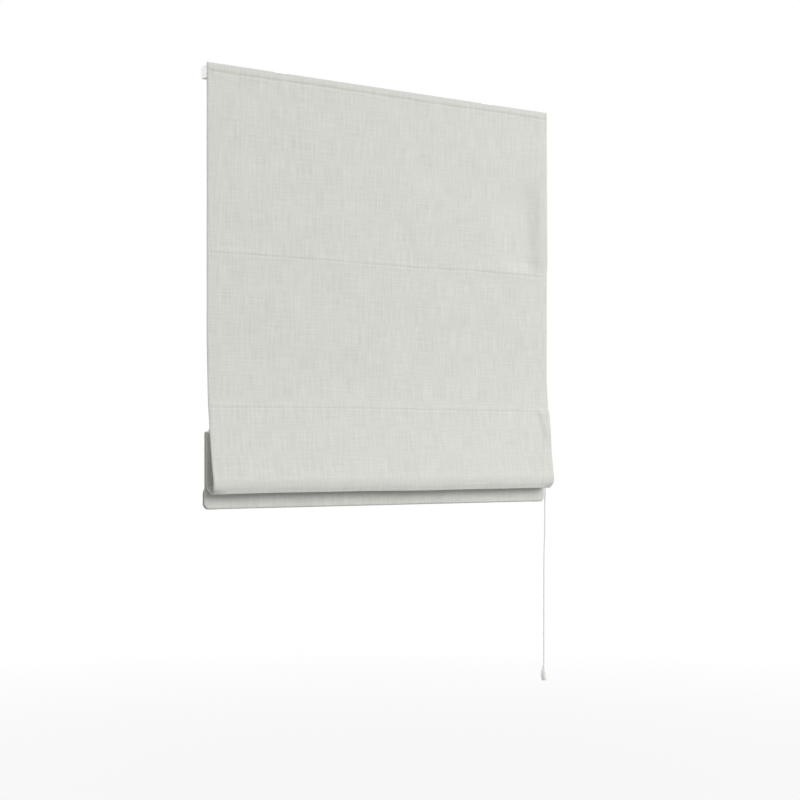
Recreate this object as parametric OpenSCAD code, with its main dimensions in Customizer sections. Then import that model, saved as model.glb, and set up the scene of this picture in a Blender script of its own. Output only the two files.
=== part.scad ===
// Roman blind, corded, for fixing overhead: one fold drawn up, pull cord at the right.
// Millimetres. Z is up, the room is towards -Y, X runs along the headrail to the cord's side.
// The origin lies on the mounting surface, midway between the two bracket screws.

/* [Blind] */
// Width of the cloth
blind_w = 820; // [500:10:1400]
// Gap between the mounting surface and the top of the cloth
head_gap = 1; // [0.5:0.5:3]
// Depth of the stitched heading line below the mounting surface
heading_seam = 13.5; // [8:0.5:20]
// Depth of the upper rod's seam
upper_seam = 337; // [250:1:420]
// Cloth between one rod and the next
panel = 277; // [240:1:320]
// How far the lower rod is drawn up from where the let-down cloth holds it
drawn_up = 231; // [200:1:240]
// Cloth from the lower rod's bend to the hem's lowest edge
skirt = 138; // [110:1:160]

/* [Cloth] */
// Thickness of the face fabric
face_t = 0.9; // [0.6:0.1:1.2]
// Thickness of the lining
lining_t = 0.5; // [0.3:0.1:0.7]
// Width of the turning down each side
side_turn = 28; // [15:1:50]
// How far the front fold stands out from the flat cloth
fold_reach = 22.5; // [18:0.5:30]
// Half the depth of the front fold, front to back
fold_r = 12; // [8:0.5:14]
// Height of the front fold's turned underside
fold_turn = 18; // [12:0.5:24]
// How far the middle rod hangs forward
middle_lean = 5; // [2:0.5:8]
// Tilt of the cloth at the middle rod, in degrees
lean_angle = 6; // [2:0.5:9]
// Depth of a stitched line in the face fabric
stitch_depth = 0.3; // [0.1:0.05:0.4]
// Height of the stitched groove
stitch_w = 1.2; // [0.8:0.1:2]
// Height of the bottom hem
hem_h = 30; // [27:1:40]
// Height of the hem's sewn upper edge
hem_lap = 8; // [5:1:12]
// Radius of the cloth's bend under the lower rod
bend_r = 3; // [2.5:0.5:4]
// Radius of the hem's lower corners
hem_corner = 11; // [6:1:14]

/* [Rods and bar] */
// Diameter of a rod
rod_d = 4; // [3:0.5:5]
// Cloth of a rod's pocket
pocket_t = 0.5; // [0.3:0.1:0.8]
// Height of a pocket's sewn edge
pocket_edge = 8; // [5:1:12]
// How far rods and pockets stop short of the cloth's sides
rod_inset = 7; // [4:1:15]
// Height of the bottom bar
bar_h = 24; // [18:1:25]
// Thickness of the bottom bar
bar_t = 3.5; // [2.5:0.5:5]
// How far the bottom bar's caps stop short of the cloth's sides
bar_inset = 15; // [15:1:30]
// Wall of a bar's end cap
cap_t = 0.6; // [0.4:0.1:1]
// Length of a bar's end cap
cap_l = 9; // [6:1:14]

/* [Headrail] */
// Depth of the rail, front to back
rail_d = 26; // [25:1:34]
// Height of the rail
rail_h = 22; // [21:1:28]
// Wall of the rail
rail_t = 1.3; // [1:0.1:1.6]
// Width of the slot under the rail
rail_slot = 18; // [17:0.5:19]
// Depth of the necks that the brackets hook into
neck_depth = 1.2; // [0.8:0.1:1.5]
// Height of the necks
neck_h = 3.2; // [2.8:0.1:4]
// How far the rail's left end stops short of the cloth's side
rail_inset = 8; // [5:1:20]
// How far the rail's right end stops short, where the cord lock follows
lock_inset = 25; // [22:1:35]
// Wall of the left end cap
end_cap_t = 2; // [1.5:0.5:3]
// Length of a plug in the rail's end
plug_l = 12; // [8:1:20]
// Height of the hook and loop tapes
tape_h = 16; // [12:1:16]
// Thickness of the hook tape
hook_t = 1.2; // [0.8:0.1:1.6]
// Thickness of the loop tape
loop_t = 1; // [0.6:0.1:1.4]

/* [Brackets] */
// Distance between the bracket screws
bracket_spacing = 500; // [300:10:700]
// Length of a bracket along the rail
bracket_l = 24; // [18:1:40]
// Thickness of a bracket
bracket_t = 1.5; // [1:0.1:2]
// Room for the screw's head between bracket and rail
screw_room = 3; // [2.5:0.1:4]
// Radius of a bracket's screw hole
screw_hole_r = 2.25; // [1.75:0.05:2.75]

/* [Cords] */
// Diameter of a lift cord
cord_d = 1.4; // [1:0.1:1.6]
// Distance between the cords' planes, front to back
cord_pitch = 2.5; // [2.4:0.1:2.8]
// Distance from the outer lift cords to the cloth's sides
cord_inset = 90; // [60:5:150]
// Middle of the cords' planes, behind the mounting line if positive
cord_y = -1; // [-1.5:0.5:0]
// Diameter of the pull cord
pull_d = 3; // [2:0.5:4]
// How far the pull cord hangs outside the cloth's right side
pull_out = 6; // [5:0.5:10]
// Depth of the top of the acorn
acorn_top = 1135; // [1000:5:1300]
// Height of the acorn
acorn_h = 32; // [25:1:40]
// Radius of the acorn at its widest
acorn_r = 6.5; // [5.5:0.5:9]

/* [Cord guides and lock] */
// Radius of the pulleys' groove and of the lock's drum
groove_r = 6; // [5.5:0.1:6.3]
// Height of a pulley's rims over its groove
rim_h = 1.2; // [0.8:0.1:1.4]
// Width of a pulley
pulley_w = 2.8; // [2.4:0.1:2.9]
// Depth of the pulleys' axis below the rail's top
axis_drop = 10.5; // [10:0.1:11]
// Diameter of a pulley's pin
pin_d = 2.5; // [2:0.1:3]
// Radius of a pulley's hub
hub_r = 2.7; // [2.2:0.1:3.4]
// Thickness of a guide's cheeks
cheek_t = 1.4; // [1:0.1:2]
// Length of a guide along the rail
guide_l = 24; // [20:1:30]
// Thickness of a guide's floor
guide_floor = 2.2; // [1.6:0.1:2.4]
// Wall of the cord lock
lock_t = 1.2; // [1:0.1:1.6]
// How far the lock reaches below the rail
lock_below = 10; // [9:0.5:14]
// Thickness of the lock's floor round the cord's eye
lock_floor_t = 2.5; // [2:0.1:4]
// Diameter of the lock's jamming roller
roller_d = 4.4; // [3.6:0.1:4.6]
// Radius of the roller's pin ends
roller_pin_r = 1; // [0.8:0.1:1.3]
// Travel of the roller in its slots
roller_travel = 4; // [2:0.5:4]
// Angle of the roller's slots from the upright, in degrees
slot_angle = 30; // [20:1:35]
// Mean radius of a cord ring
ring_r = 5.2; // [4.8:0.1:5.6]
// Thickness of a cord ring
ring_t = 1.6; // [1.2:0.1:2]
// Width of a ring's sewn tab
tab_w = 5; // [3:0.5:7]

/* [Clearances] */
// Running clearance of a pulley, drum or roller on its pin, on the radius
run_clear = 0.06; // [0.02:0.01:0.1]
// Clearance of a pin in its cheeks and of a rod in its pocket, on the radius
pin_clear = 0.02; // [0.01:0.01:0.05]
// Gap between pieces that seat on each other
seat = 0.05; // [0.02:0.01:0.1]
// Gap between pieces that move past each other or slide in
clear = 0.3; // [0.2:0.05:0.4]

/* [Hidden] */
$fn = 48;

// How far a cut reaches past what it cuts
over = 1;

// Colours
cloth_colour = [0.83, 0.83, 0.80];
lining_colour = [0.93, 0.92, 0.88];
white = [0.94, 0.94, 0.92];
steel = [0.72, 0.73, 0.74];

// Headrail
rail_top = -(bracket_t + screw_room);
rail_floor = rail_top - rail_h;
rail_left = -blind_w / 2 + rail_inset;
rail_right = blind_w / 2 - lock_inset;
rail_l = rail_right - rail_left;
rail_mid = (rail_left + rail_right) / 2;
neck_top = rail_top - rail_t;
neck_floor = neck_top - neck_h;
inner_d = rail_d - 2 * rail_t;
neck_inner_d = inner_d - 2 * neck_depth;
lip_top = rail_floor + rail_t;
tape_top = neck_floor - clear;

// Section of the cloth, as points of [y, z, stitched depth] down its middle line
back_y = -rail_d / 2 - hook_t - loop_t;
cloth_y = back_y - lining_t - face_t / 2;
middle_seam = upper_seam + panel;
lower_bend = middle_seam + panel - drawn_up;
hem_bottom = lower_bend + skirt;
// The cloth between the middle and lower rods hangs in one fold, so its length sets the fold's depth
turn_l = PI * sqrt((fold_r * fold_r + fold_turn * fold_turn) / 2);
fold_bottom = (panel + middle_seam + lower_bend + face_t
               + 2 * fold_turn - turn_l - (PI / 2 - 1) * bend_r) / 2;
uphill = [sin(lean_angle), cos(lean_angle)];
lean_from = [cloth_y, -upper_seam - panel / 2];
middle_at = [cloth_y - middle_lean, -middle_seam];
fold_at = [cloth_y - fold_reach + fold_r, -fold_bottom + face_t / 2 + fold_turn];
fold_low = fold_at - [0, fold_turn];
pocket_gap = bar_t + 2 * cap_t + 2 * clear;
hem_r = (pocket_gap + face_t) / 2;
skirt_y = cord_y - ring_r - ring_t / 2 - seat - lining_t - face_t / 2;
bend_at = [skirt_y - bend_r, -lower_bend - bend_r];
hem_at = [skirt_y + hem_r, -hem_bottom + face_t / 2 + hem_r];
hem_top = -hem_bottom + hem_h;
lining_end = hem_top + hem_lap + pocket_t * 4;

function arc(c, r, from, to, n) =
    [for (i = [1:n]) let (a = from + (to - from) * i / n) [c.x + r * cos(a), c.y + r * sin(a), 0]];
function curve(a, b, c, d, n) =
    [for (i = [1:n]) let (t = i / n, s = 1 - t, p = s*s*s * a + 3*s*s*t * b + 3*s*t*t * c + t*t*t * d)
        [p.x, p.y, 0]];
function stitch(p, up) = [
    [p.x + up.x * stitch_w / 2, p.y + up.y * stitch_w / 2, 0],
    [p.x, p.y, stitch_depth],
    [p.x - up.x * stitch_w / 2, p.y - up.y * stitch_w / 2, 0]];

lean_pull = panel / 6;
fold_pull = (middle_at.y - fold_at.y) / 3;
back_pull = (bend_at.y - fold_at.y) / 3;
turn_pull = fold_turn / 3;
low_pull = fold_r * 0.45;
flat_path = concat(
    [[cloth_y, -head_gap, 0]],
    stitch([cloth_y, -heading_seam], [0, 1]),
    stitch([cloth_y, -upper_seam], [0, 1]),
    [[cloth_y, lean_from.y, 0]],
    curve(lean_from, lean_from - [0, lean_pull], middle_at + uphill * lean_pull,
          middle_at + uphill * stitch_w, 6),
    stitch(middle_at, uphill));
fold_path = concat(
    curve(middle_at - uphill * stitch_w, middle_at - uphill * fold_pull,
          fold_at + [-fold_r, fold_pull], fold_at + [-fold_r, 0], 8),
    curve(fold_at + [-fold_r, 0], fold_at + [-fold_r, -turn_pull], fold_low - [low_pull, 0], fold_low, 8),
    curve(fold_low, fold_low + [low_pull, 0], fold_at + [fold_r, -turn_pull], fold_at + [fold_r, 0], 8),
    curve(fold_at + [fold_r, 0], fold_at + [fold_r, back_pull],
          bend_at - [bend_r, back_pull], bend_at - [bend_r, 0], 6));
skirt_path = concat(arc(bend_at, bend_r, 180, 0, 8), [[skirt_y, lining_end, 0]]);
hem_path = concat(
    [[skirt_y, hem_at.y, 0]],
    arc(hem_at, hem_r, 180, 360, 10),
    [[hem_at.x + hem_r, hem_top, 0], [skirt_y + face_t + 4 * seat, hem_top + hem_lap, 0]]);
lined_path = concat(flat_path, fold_path, skirt_path);
cloth_path = concat(lined_path, hem_path);

// Unit vector out of the cloth's face at point i of a path
function out_of(path, i) =
    let (last = len(path) - 1, a = path[max(i - 1, 0)], b = path[min(i + 1, last)],
         d = [b.x - a.x, b.y - a.y])
    [d.y, -d.x] / norm(d);
function side(path, from, dent) =
    [for (i = [0:len(path) - 1]) let (p = path[i])
        [p.x, p.y] + out_of(path, i) * (from - dent * p.z)];
function turned(points) = [for (i = [len(points) - 1:-1:0]) points[i]];
function layer(path, outer, inner, dent) =
    concat(side(path, outer, dent), turned(side(path, inner, 0)));

// Rods and pockets
pocket_r = rod_d / 2 + pin_clear + pocket_t;
pocket_out = face_t / 2 + lining_t + seat + pocket_r;
rod_l = blind_w - 2 * rod_inset;
upper_rod = [cloth_y + pocket_out, -upper_seam];
middle_rod = middle_at + [uphill.y, -uphill.x] * (pocket_out + seat);
lower_rod = [bend_at.x, bend_at.y + bend_r + pocket_out];

// Bottom bar in the hem
bar_y = hem_at.x;
bar_z = -hem_bottom + face_t + 2 * seat + cap_t + bar_h / 2;
bar_l = blind_w - 2 * bar_inset - 2 * cap_t;

// Cords, pulleys and lock
cord_r = cord_d / 2;
pitch_r = groove_r + seat + cord_r;
axis_z = rail_top - axis_drop;
run_z = axis_z + pitch_r;
rim_r = groove_r + rim_h;
cord_x = [-blind_w / 2 + cord_inset, 0, blind_w / 2 - cord_inset];
cord_plane = [for (k = [-1:1]) cord_y + k * cord_pitch];
planes_half = cord_pitch + pulley_w / 2;
exit_x = blind_w / 2 + pull_out;
drum_x = exit_x - pitch_r;
drum_half = cord_pitch + cord_r + clear;
lock_half = drum_half + clear;
lock_floor = rail_floor - lock_below;
lock_roof = run_z + cord_r + 2 * clear;
eye_r = cord_d * 1.5 + 2 * seat + clear;
lock_end = exit_x + eye_r + lock_t + clear;
tail_end = lock_floor + lock_floor_t / 2;
roller_at = [exit_x - cord_r - clear - roller_d / 2, axis_z - groove_r - roller_d / 2 - 2 * clear];
roller_step = -roller_travel * [sin(slot_angle), cos(slot_angle)];

// Pull cord's hand-chosen bends, as [offset in y, share of the way to the acorn], then its route and knot
pull_bends = [[0, 0.105], [-2, 0.37], [-4, 0.652], [-3, 0.705], [-2.5, 0.758], [-0.5, 0.802], [0, 0.881]];
acorn_bore_r = pull_d / 2 + 4 * seat;
acorn_seat = -acorn_top - acorn_h * 0.72;
knot_r = pull_d * 0.8;
knot_z = acorn_seat - sqrt(knot_r * knot_r - acorn_bore_r * acorn_bore_r) - seat;
pull_route = concat(
    [[exit_x, cord_y, tail_end - 2 * seat]],
    [for (b = pull_bends) [exit_x, cord_y + b[0], -acorn_top * b[1]]],
    [[exit_x, cord_y, -acorn_top], [exit_x, cord_y, knot_z + knot_r + seat]]);

// Basic moves
module along_x(l) { rotate([90, 0, 90]) linear_extrude(l, center = true) children(); }
module along_y(l) { rotate([90, 0, 0]) linear_extrude(l, center = true) children(); }
module cyl_x(r, l) { rotate([0, 90, 0]) cylinder(r = r, h = l, center = true); }
module cyl_y(r, l) { rotate([90, 0, 0]) cylinder(r = r, h = l, center = true); }
module box(from, to) { translate(from) cube(to - from); }

// Headrail and what closes it
module rail_outline() {
    polygon([
        [-rail_d / 2, rail_top], [rail_d / 2, rail_top],
        [rail_d / 2, neck_top], [rail_d / 2 - neck_depth, neck_top],
        [rail_d / 2 - neck_depth, neck_floor], [rail_d / 2, neck_floor],
        [rail_d / 2, rail_floor], [-rail_d / 2, rail_floor],
        [-rail_d / 2, neck_floor], [-rail_d / 2 + neck_depth, neck_floor],
        [-rail_d / 2 + neck_depth, neck_top], [-rail_d / 2, neck_top]]);
}

module rail_hollow(gap) {
    half = inner_d / 2 - gap;
    neck_half = neck_inner_d / 2 - gap;
    polygon([
        [-neck_half, neck_top - gap], [neck_half, neck_top - gap],
        [neck_half, neck_floor - rail_t - gap], [half, neck_floor - rail_t - gap],
        [half, lip_top + gap], [-half, lip_top + gap],
        [-half, neck_floor - rail_t - gap], [-neck_half, neck_floor - rail_t - gap]]);
}

module headrail() {
    color(white) translate([rail_mid, 0, 0]) along_x(rail_l) difference() {
        rail_outline();
        rail_hollow(0);
        translate([-rail_slot / 2, rail_floor - over]) square([rail_slot, rail_t + 2 * over]);
    }
}

module left_end_cap() {
    color(white) {
        translate([rail_left - end_cap_t / 2, 0, 0]) along_x(end_cap_t) rail_outline();
        translate([rail_left + plug_l / 2, 0, 0]) along_x(plug_l) difference() {
            rail_hollow(clear);
            translate([-neck_inner_d / 2 + 2 * rail_t, lip_top + 2 * rail_t])
                square([neck_inner_d - 4 * rail_t, neck_top - lip_top]);
        }
    }
}

module mounting_bracket(x) {
    plate_half = rail_d / 2 + clear + bracket_t;
    hook_z = neck_top - clear;
    leg_z = neck_floor + clear;
    color(steel) translate([x, 0, 0]) difference() {
        along_x(bracket_l) difference() {
            translate([-plate_half, leg_z]) square([2 * plate_half, -leg_z]);
            translate([-rail_d / 2 - clear, hook_z])
                square([rail_d + 2 * clear, -bracket_t - hook_z]);
            translate([-rail_d / 2 + neck_depth - clear, leg_z - over])
                square([rail_d - 2 * neck_depth + 2 * clear, hook_z - leg_z + 2 * over]);
        }
        translate([0, 0, -2 * bracket_t]) cylinder(r = screw_hole_r, h = 3 * bracket_t);
    }
}

module hook_tape() {
    color(white) box([rail_left, -rail_d / 2 - hook_t, tape_top - tape_h],
                     [rail_right, -rail_d / 2, tape_top]);
}

module loop_tape() {
    color(white) box([-blind_w / 2 + side_turn, back_y, tape_top - tape_h],
                     [blind_w / 2 - side_turn, back_y + loop_t, tape_top]);
}

// Cloth
module hem_corner_cut() {
    for (s = [-1, 1])
        translate([s * (blind_w / 2 - hem_corner), hem_at.x, -hem_bottom + hem_corner])
            along_y(4 * hem_r) difference() {
                translate([s > 0 ? 0 : -hem_corner - over, -hem_corner - over])
                    square(hem_corner + over);
                circle(hem_corner);
            }
}

module face_fabric() {
    color(cloth_colour) difference() {
        union() {
            along_x(blind_w) polygon(layer(cloth_path, face_t / 2, -face_t / 2, 1));
            for (s = [-1, 1])
                translate([s * (blind_w - side_turn) / 2, 0, 0]) along_x(side_turn)
                    polygon(layer(lined_path, 0, -face_t / 2 - lining_t, 0));
        }
        hem_corner_cut();
    }
}

module lining() {
    color(lining_colour) along_x(blind_w - 2 * side_turn)
        polygon(layer(lined_path, -face_t / 2, -face_t / 2 - lining_t, 0));
}

// Rods in their pockets
module rod_pocket(at, tilt, edge) {
    color(lining_colour) along_x(rod_l) translate(at) rotate(tilt) difference() {
        union() {
            circle(pocket_r);
            if (edge > 0) translate([-pocket_r, 0]) square([pocket_t, edge]);
        }
        circle(pocket_r - pocket_t);
    }
}

module rod(at) { color(white) translate([0, at.x, at.y]) cyl_x(rod_d / 2, rod_l); }

// Rings and anchors that stand behind the pockets
module ring_tab(x, at, lap) {
    from = at.x + pocket_r + seat;
    to = cord_y - ring_r + lap;
    translate([x, (from + to) / 2, at.y]) cube([tab_w, to - from, ring_t], center = true);
}

module cord_rings(at) {
    color(white) for (x = cord_x) {
        ring_tab(x, at, 0);
        translate([x, cord_y, at.y]) rotate_extrude() translate([ring_r, 0]) circle(ring_t / 2);
    }
}

module cord_anchors() {
    color(white) for (k = [0:2]) difference() {
        union() {
            ring_tab(cord_x[k], lower_rod, ring_t);
            translate([cord_x[k], cord_y, lower_rod.y])
                cylinder(r = ring_r, h = ring_t, center = true);
        }
        translate([cord_x[k], cord_plane[k], lower_rod.y])
            cylinder(r = cord_r + seat, h = 2 * ring_t, center = true);
    }
}

stop_r = cord_d * 1.5;
stop_z = lower_rod.y - ring_t / 2 - seat - stop_r;

module cord_stops() {
    color(white) for (k = [0:2]) translate([cord_x[k], cord_plane[k], stop_z]) difference() {
        sphere(stop_r);
        cylinder(r = cord_r + seat, h = stop_r + over);
    }
}

// Lift cords: up from the anchor, over the guide's pulley, along the rail, over the lock's drum
module quarter(x, plane, from) {
    translate([x, plane, axis_z]) rotate([90, 0, 0]) rotate([0, 0, from])
        rotate_extrude(angle = 90) translate([pitch_r, 0]) circle(cord_r);
}

module lift_cord(k) {
    plane = cord_plane[k];
    top_x = cord_x[k] + pitch_r;
    tail_y = cord_y + (k - 1) * (cord_d + seat);
    tail = [0, tail_y - plane, tail_end - axis_z];
    color(white) {
        translate([cord_x[k], plane, stop_z + seat]) cylinder(r = cord_r, h = axis_z - stop_z - seat);
        quarter(top_x, plane, 90);
        translate([(top_x + drum_x) / 2, plane, run_z]) cyl_x(cord_r, drum_x - top_x);
        quarter(drum_x, plane, 0);
        translate([exit_x, plane, axis_z]) {
            sphere(cord_r);
            rotate([atan2(-tail.y, tail.z), 0, 0]) cylinder(r = cord_r, h = norm(tail));
        }
    }
}

// Cord guides that sit in the rail's slot
module guide_housing(k) {
    cheek_in = planes_half + clear;
    color(white) translate([cord_x[k] + pitch_r, 0, 0]) difference() {
        union() {
            translate([-guide_l / 2, 0, 0]) {
                box([0, -inner_d / 2 + clear, lip_top], [guide_l, inner_d / 2 - clear, lip_top + guide_floor]);
                box([0, -rail_slot / 2 + clear, rail_floor - clear], [guide_l, rail_slot / 2 - clear, lip_top]);
            }
            for (s = [-1, 1]) translate([0, cord_y + s * (cheek_in + cheek_t / 2), 0]) {
                translate([0, 0, axis_z]) cyl_y(groove_r - 1, cheek_t);
                box([-groove_r + 1, -cheek_t / 2, lip_top + guide_floor - 1],
                    [groove_r - 1, cheek_t / 2, axis_z]);
            }
        }
        translate([0, cord_y, axis_z]) cyl_y(pin_d / 2 + pin_clear, 4 * planes_half);
        translate([-pitch_r, cord_plane[k], rail_floor - over])
            cylinder(r = cord_r + clear, h = guide_floor + rail_t + 2 * over);
    }
}

module guide_pulley(k) {
    rim = pulley_w / 2 - cord_r - 0.2;
    shift = cord_plane[k] - cord_y;
    color(white) translate([cord_x[k] + pitch_r, cord_y, axis_z]) difference() {
        union() {
            cyl_y(hub_r, 2 * planes_half);
            translate([0, shift, 0]) cyl_y(groove_r, pulley_w);
            for (s = [-1, 1])
                translate([0, shift + s * (pulley_w - rim) / 2, 0]) cyl_y(rim_r, rim);
        }
        cyl_y(pin_d / 2 + run_clear, 3 * planes_half);
    }
}

module guide_pin(k) {
    color(steel) translate([cord_x[k] + pitch_r, cord_y, axis_z])
        cyl_y(pin_d / 2, 2 * (planes_half + clear + cheek_t));
}

// Cord lock at the right end
module roller_slot() {
    translate([roller_at.x, cord_y, roller_at.y]) {
        r = roller_pin_r + clear / 2;
        l = 4 * lock_half;
        cyl_y(r, l);
        translate([roller_step.x, 0, roller_step.y]) cyl_y(r, l);
        rotate([0, slot_angle, 0]) translate([0, 0, -roller_travel / 2])
            cube([2 * r, l, roller_travel], center = true);
    }
}

module cord_lock_housing() {
    out = lock_half + lock_t;
    color(white) difference() {
        union() {
            translate([rail_right + end_cap_t / 2, 0, 0]) along_x(end_cap_t) rail_outline();
            translate([rail_right - plug_l / 2, 0, 0]) along_x(plug_l) rail_hollow(clear);
            box([rail_right, cord_y - out, lock_floor], [lock_end, cord_y + out, lock_roof + lock_t]);
        }
        box([rail_right - plug_l - over, cord_y - lock_half, lip_top + 2 * rail_t],
            [rail_right + end_cap_t, cord_y + lock_half, lock_roof]);
        box([rail_right + end_cap_t, cord_y - lock_half, lock_floor + lock_floor_t],
            [exit_x + cord_r + clear, cord_y + lock_half, lock_roof]);
        translate([drum_x, cord_y, axis_z]) cyl_y(pin_d / 2 + pin_clear, 4 * lock_half);
        translate([exit_x, cord_y, lock_floor - over]) cylinder(r = eye_r, h = lock_floor_t + 2 * over);
        roller_slot();
    }
}

module lock_drum() {
    color(white) translate([drum_x, cord_y, axis_z]) difference() {
        cyl_y(groove_r, 2 * drum_half);
        cyl_y(pin_d / 2 + run_clear, 3 * drum_half);
    }
}

module lock_drum_pin() {
    color(steel) translate([drum_x, cord_y, axis_z]) cyl_y(pin_d / 2, 2 * (lock_half + lock_t));
}

module lock_roller() {
    color([0.80, 0.66, 0.36]) translate([roller_at.x, cord_y, roller_at.y]) {
        cyl_y(roller_d / 2, 2 * drum_half);
        cyl_y(roller_pin_r, 2 * (lock_half + lock_t));
    }
}

// Bottom bar and its caps
module bar_section(grow) {
    r = bar_t / 2 + grow;
    square([2 * r, bar_h - bar_t], center = true);
    for (s = [-1, 1]) translate([0, s * (bar_h - bar_t) / 2]) circle(r);
}

module bottom_bar() {
    color(steel) translate([0, bar_y, bar_z]) along_x(bar_l) bar_section(0);
}

module bar_cap(s) {
    color(white) translate([s * (bar_l / 2 + cap_t - cap_l / 2), bar_y, bar_z]) difference() {
        along_x(cap_l) bar_section(cap_t);
        translate([-s * (cap_t - seat), 0, 0]) along_x(cap_l) bar_section(pin_clear);
    }
}

// Pull cord, swept in eight flats along its route
function ring_at(p, r) = [for (j = [0:7]) p + r * [cos(45 * j), sin(45 * j), 0]];

module pull_cord() {
    n = len(pull_route);
    points = [for (p = pull_route) each ring_at(p, pull_d / 2)];
    walls = [for (i = [0:n - 2], j = [0:7])
        [8 * i + j, 8 * i + 8 + j, 8 * i + 8 + (j + 1) % 8, 8 * i + (j + 1) % 8]];
    color(white) polyhedron(points, concat(walls, [[for (j = [0:7]) j]],
                                           [[for (j = [7:-1:0]) 8 * (n - 1) + j]]));
}

// Acorn at the end of the pull cord
module cord_acorn() {
    outline = concat(
        [[acorn_r * 0.42, 0, 0]],
        curve([acorn_r * 0.42, 0], [acorn_r * 0.5, -acorn_h * 0.2],
              [acorn_r, -acorn_h * 0.3], [acorn_r, -acorn_h * 0.6], 8),
        curve([acorn_r, -acorn_h * 0.6], [acorn_r, -acorn_h * 0.85],
              [acorn_r * 0.85, -acorn_h], [acorn_r * 0.6, -acorn_h], 6));
    color(white) translate([exit_x, cord_y, -acorn_top]) difference() {
        rotate_extrude() polygon(concat([[0, 0]], [for (p = outline) [p.x, p.y]], [[0, -acorn_h]]));
        translate([0, 0, -acorn_h]) cylinder(r = acorn_bore_r, h = acorn_h + over);
        translate([0, 0, -acorn_h - over]) cylinder(r = knot_r + seat * 4, h = acorn_h * 0.28 + over);
    }
}

module cord_knot() { color(white) translate([exit_x, cord_y, knot_z]) sphere(knot_r); }

mounting_bracket(-bracket_spacing / 2);  // mounting_bracket_left
mounting_bracket(bracket_spacing / 2);  // mounting_bracket_right
headrail();
left_end_cap();
cord_lock_housing();
lock_drum();
lock_drum_pin();
lock_roller();
hook_tape();
loop_tape();
face_fabric();
lining();
rod_pocket(upper_rod, 0, pocket_edge);  // rod_pocket_upper
rod_pocket(middle_rod, -lean_angle, pocket_edge);  // rod_pocket_middle
rod_pocket(lower_rod, 0, 0);  // rod_pocket_lower
rod(upper_rod);  // rod_upper
rod(middle_rod);  // rod_middle
rod(lower_rod);  // rod_lower
cord_rings(upper_rod);  // cord_rings_upper
cord_rings(middle_rod);  // cord_rings_middle
cord_anchors();
guide_housing(0);  // guide_housing_left
guide_housing(1);  // guide_housing_centre
guide_housing(2);  // guide_housing_right
guide_pulley(0);  // guide_pulley_left
guide_pulley(1);  // guide_pulley_centre
guide_pulley(2);  // guide_pulley_right
guide_pin(0);  // guide_pin_left
guide_pin(1);  // guide_pin_centre
guide_pin(2);  // guide_pin_right
lift_cord(0);  // lift_cord_left
lift_cord(1);  // lift_cord_centre
lift_cord(2);  // lift_cord_right
cord_stops();
bottom_bar();
bar_cap(-1);  // bar_cap_left
bar_cap(1);  // bar_cap_right
pull_cord();
cord_acorn();
cord_knot();
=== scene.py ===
# %% [markdown]
# # A corded roman blind
# The blind is pale linen-look cloth on a white headrail. Its lowest fold is drawn up by three lift cords
# that run through the rail to a cord lock at the right, and leave it as one pull cord with an acorn on
# its end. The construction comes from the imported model. This lesson dresses it: cords, cloth, lining,
# stitches and finishes. The pieces' sizes are in millimetres, and MM turns their points into metres.

# %% Load the frame
import math

import bpy
import numpy as np
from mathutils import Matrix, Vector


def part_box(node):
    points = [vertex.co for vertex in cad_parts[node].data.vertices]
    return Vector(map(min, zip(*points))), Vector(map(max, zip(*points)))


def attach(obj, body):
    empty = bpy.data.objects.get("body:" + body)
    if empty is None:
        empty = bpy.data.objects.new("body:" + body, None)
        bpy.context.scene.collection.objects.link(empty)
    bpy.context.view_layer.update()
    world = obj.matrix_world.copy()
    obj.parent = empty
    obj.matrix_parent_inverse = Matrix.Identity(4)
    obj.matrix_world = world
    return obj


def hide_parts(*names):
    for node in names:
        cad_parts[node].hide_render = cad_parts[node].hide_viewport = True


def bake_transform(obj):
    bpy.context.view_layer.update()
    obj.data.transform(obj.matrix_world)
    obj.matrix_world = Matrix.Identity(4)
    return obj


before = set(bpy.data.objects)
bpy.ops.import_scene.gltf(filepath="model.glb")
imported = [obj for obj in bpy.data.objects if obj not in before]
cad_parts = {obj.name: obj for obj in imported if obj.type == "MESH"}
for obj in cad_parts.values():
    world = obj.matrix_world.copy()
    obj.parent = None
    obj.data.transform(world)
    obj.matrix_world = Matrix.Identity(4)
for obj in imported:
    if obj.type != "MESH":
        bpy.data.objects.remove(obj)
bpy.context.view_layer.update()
MM = 0.001

# %% [markdown]
# ## Camera
# The picture was taken from the left of the blind, a little below its middle, and its uprights are
# parallel. A camera tilted up or down would make them lean together. So it stands level, and a vertical
# lens shift gives the framing.

# %% Camera
PICTURE = 800
FOCAL_PX = 1848.5
HORIZON_PX = 446.46
YAW = math.radians(38.143)
CAMERA_AT = (-2.17038, -2.81406, -0.68546)
SENSOR = 36.0


def in_scene(name, data):
    """A new object of that data, linked to the scene."""
    made = bpy.data.objects.new(name, data)
    bpy.context.scene.collection.objects.link(made)
    return made


eye = bpy.data.cameras.new("photo_camera")
eye.sensor_width = SENSOR
eye.lens = SENSOR * FOCAL_PX / PICTURE
eye.shift_y = (HORIZON_PX - PICTURE / 2) / PICTURE
camera = in_scene("photo_camera", eye)
camera.location = CAMERA_AT
camera.rotation_euler = (math.pi / 2, 0, -YAW)
bpy.context.scene.camera = camera
print("lens", round(eye.lens, 2), "shift", round(eye.shift_y, 4))

# %% [markdown]
# ## Surfaces from arrays
# Cloth, cords and stitches are all surfaces over a grid: rows along the piece, and columns across or
# round it. They could be built face by face, but whole arrays are quicker and keep a shape as one
# readable formula. The helpers number a grid's quads, give soft steps and bells, and put all of it into a
# mesh in one go.


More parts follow.
